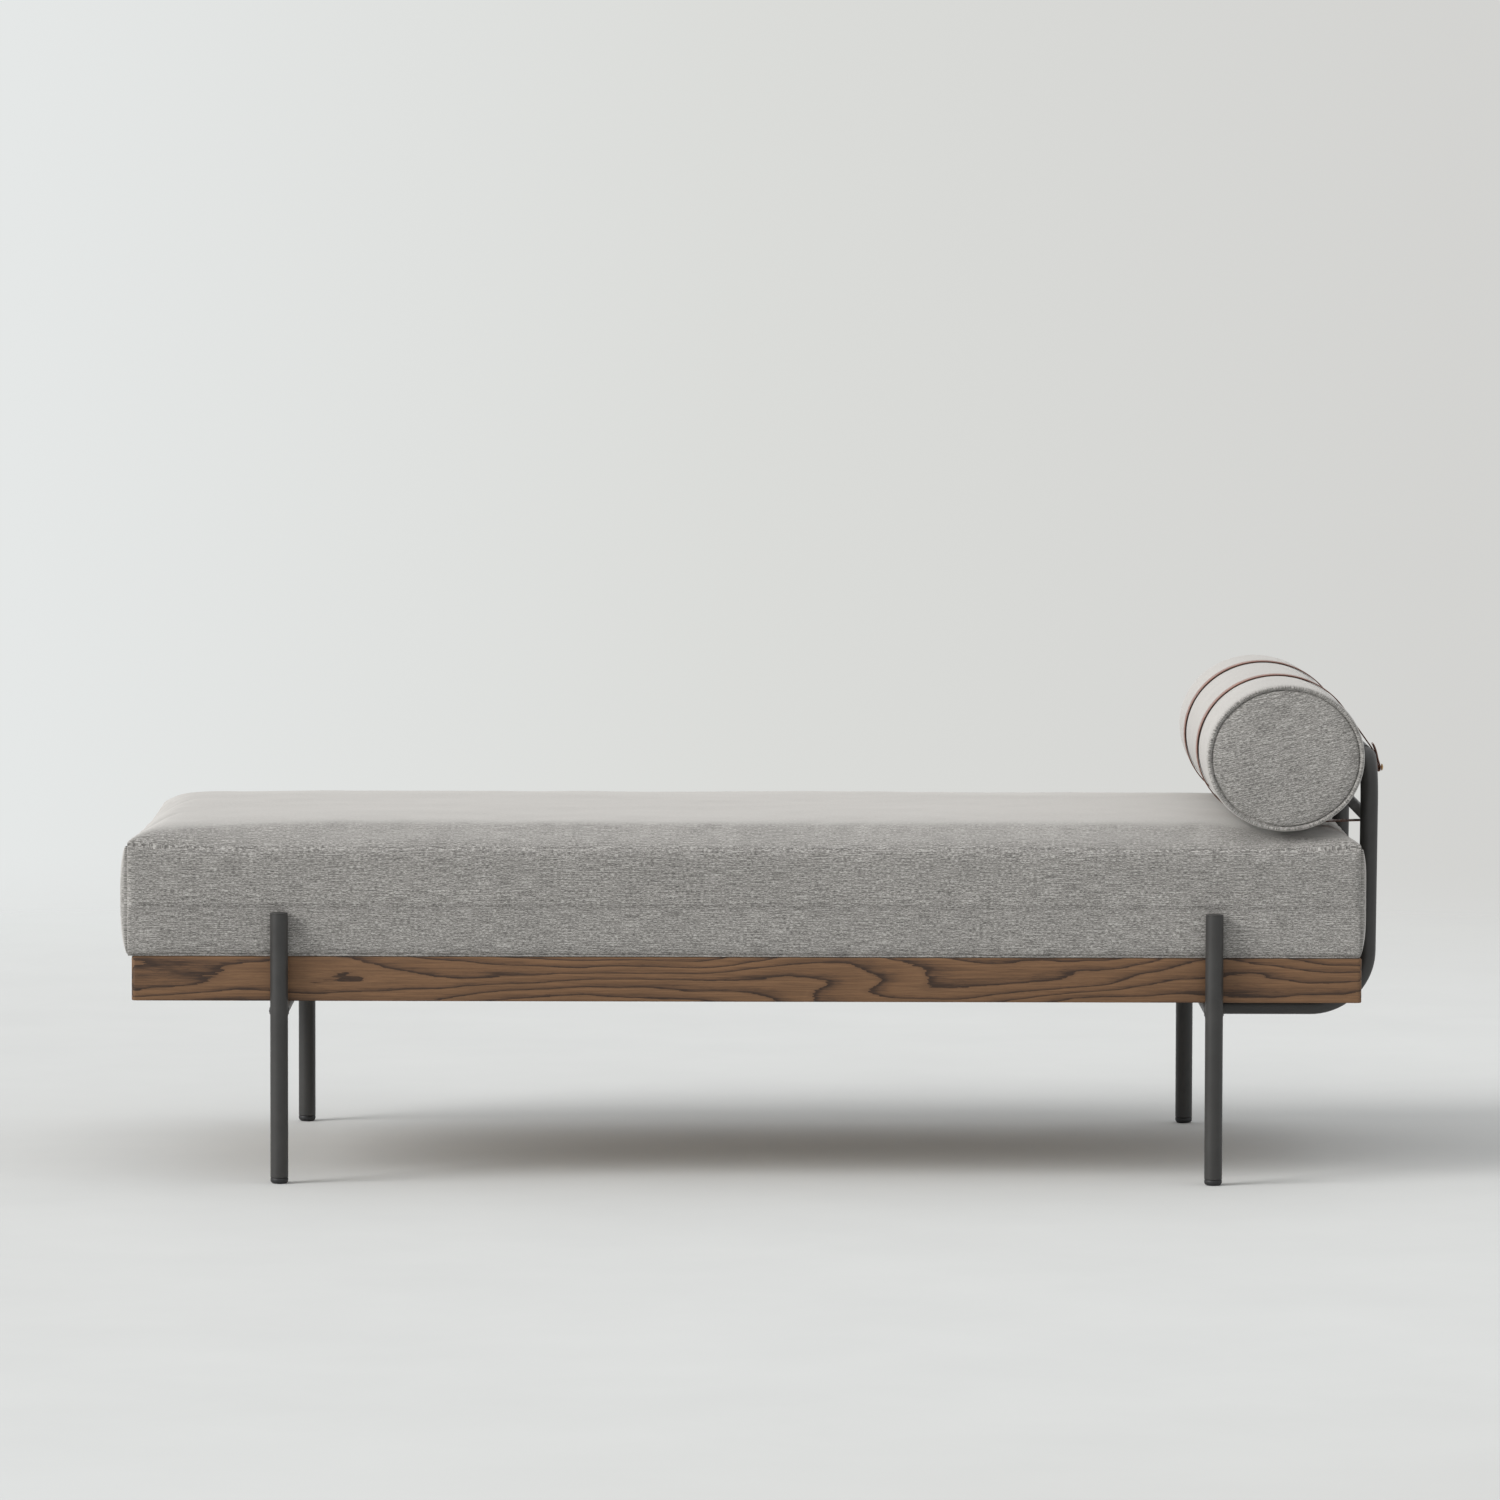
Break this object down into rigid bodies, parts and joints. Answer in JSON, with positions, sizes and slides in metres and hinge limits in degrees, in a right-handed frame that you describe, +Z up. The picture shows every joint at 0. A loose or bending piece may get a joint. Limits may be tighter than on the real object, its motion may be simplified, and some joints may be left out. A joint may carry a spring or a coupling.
{
  "type": "daybed",
  "caption": "Bench daybed: box cushion on an oak platform with outside tube legs, and a strapped bolster on a bent tube head frame.",
  "frame": {"origin": "on the floor, under the middle of the whole object's footprint", "axes": "+X along the length towards the bolster and head frame, +Y towards the back long side, +Z up"},
  "size_m": [1.7784, 0.8006, 0.7041],
  "materials": {
    "dark_oak": "satin",
    "plain_wood": "matte",
    "black_steel": "satin",
    "bolt_steel": "satin",
    "black_plastic": "matte",
    "foam": "matte",
    "tweed": "matte",
    "zip_tape": "matte",
    "leather": "satin",
    "brass": "satin"
  },
  "bodies": {
    "daybed_frame": {"rail_front": "dark_oak", "rail_back": "dark_oak", "rail_foot": "dark_oak", "rail_head": "dark_oak", "corner_block_foot_front": "plain_wood", "corner_block_foot_back": "plain_wood", "corner_block_head_front": "plain_wood", "corner_block_head_back": "plain_wood", "slat_cleat_front": "plain_wood", "slat_cleat_back": "plain_wood", "centre_beam": "plain_wood", "slat_01": "plain_wood", "slat_02": "plain_wood", "slat_03": "plain_wood", "slat_04": "plain_wood", "slat_05": "plain_wood", "slat_06": "plain_wood", "slat_07": "plain_wood", "slat_08": "plain_wood", "slat_09": "plain_wood", "slat_10": "plain_wood", "leg_post_foot_front": "black_steel", "leg_cap_foot_front": "black_steel", "leg_glide_foot_front": "black_plastic", "leg_bolt_foot_front_lower": "bolt_steel", "leg_bolt_foot_front_upper": "bolt_steel", "leg_post_foot_back": "black_steel", "leg_cap_foot_back": "black_steel", "leg_glide_foot_back": "black_plastic", "leg_bolt_foot_back_lower": "bolt_steel", "leg_bolt_foot_back_upper": "bolt_steel", "cross_tube_foot": "black_steel", "leg_post_head_front": "black_steel", "leg_cap_head_front": "black_steel", "leg_glide_head_front": "black_plastic", "leg_bolt_head_front_lower": "bolt_steel", "leg_bolt_head_front_upper": "bolt_steel", "leg_post_head_back": "black_steel", "leg_cap_head_back": "black_steel", "leg_glide_head_back": "black_plastic", "leg_bolt_head_back_lower": "bolt_steel", "leg_bolt_head_back_upper": "bolt_steel", "cross_tube_head": "black_steel", "head_frame_tube": "black_steel", "head_bolt_front": "bolt_steel", "head_bolt_back": "bolt_steel", "head_lower_rail": "black_steel", "strap_front": "leather", "strap_stud_front": "brass", "strap_back": "leather", "strap_stud_back": "brass"},
    "seat_cushion": {"seat_foam": "foam", "seat_cover": "tweed", "seat_zip": "zip_tape"},
    "bolster": {"bolster_filling": "foam", "bolster_cover": "tweed", "bolster_zip": "zip_tape"},
    "seat_zip_puller": {"seat_zip_slider": "brass"},
    "bolster_zip_puller": {"bolster_zip_slider": "brass"}
  },
  "joints": [
    {"name": "seat_cushion_slide", "type": "slide", "parent": "daybed_frame", "child": "seat_cushion", "axis": [-1, 0, 0], "range_m": [0, 0.8]},
    {"name": "bolster_slide", "type": "slide", "parent": "daybed_frame", "child": "bolster", "axis": [0, -1, 0], "range_m": [-0.19, 0.19]},
    {"name": "seat_zip_slide", "type": "slide", "parent": "seat_cushion", "child": "seat_zip_puller", "axis": [-1, 0, 0], "range_m": [0, 1.16]},
    {"name": "bolster_zip_slide", "type": "slide", "parent": "bolster", "child": "bolster_zip_puller", "axis": [0, -1, 0], "range_m": [0, 0.5]}
  ]
}
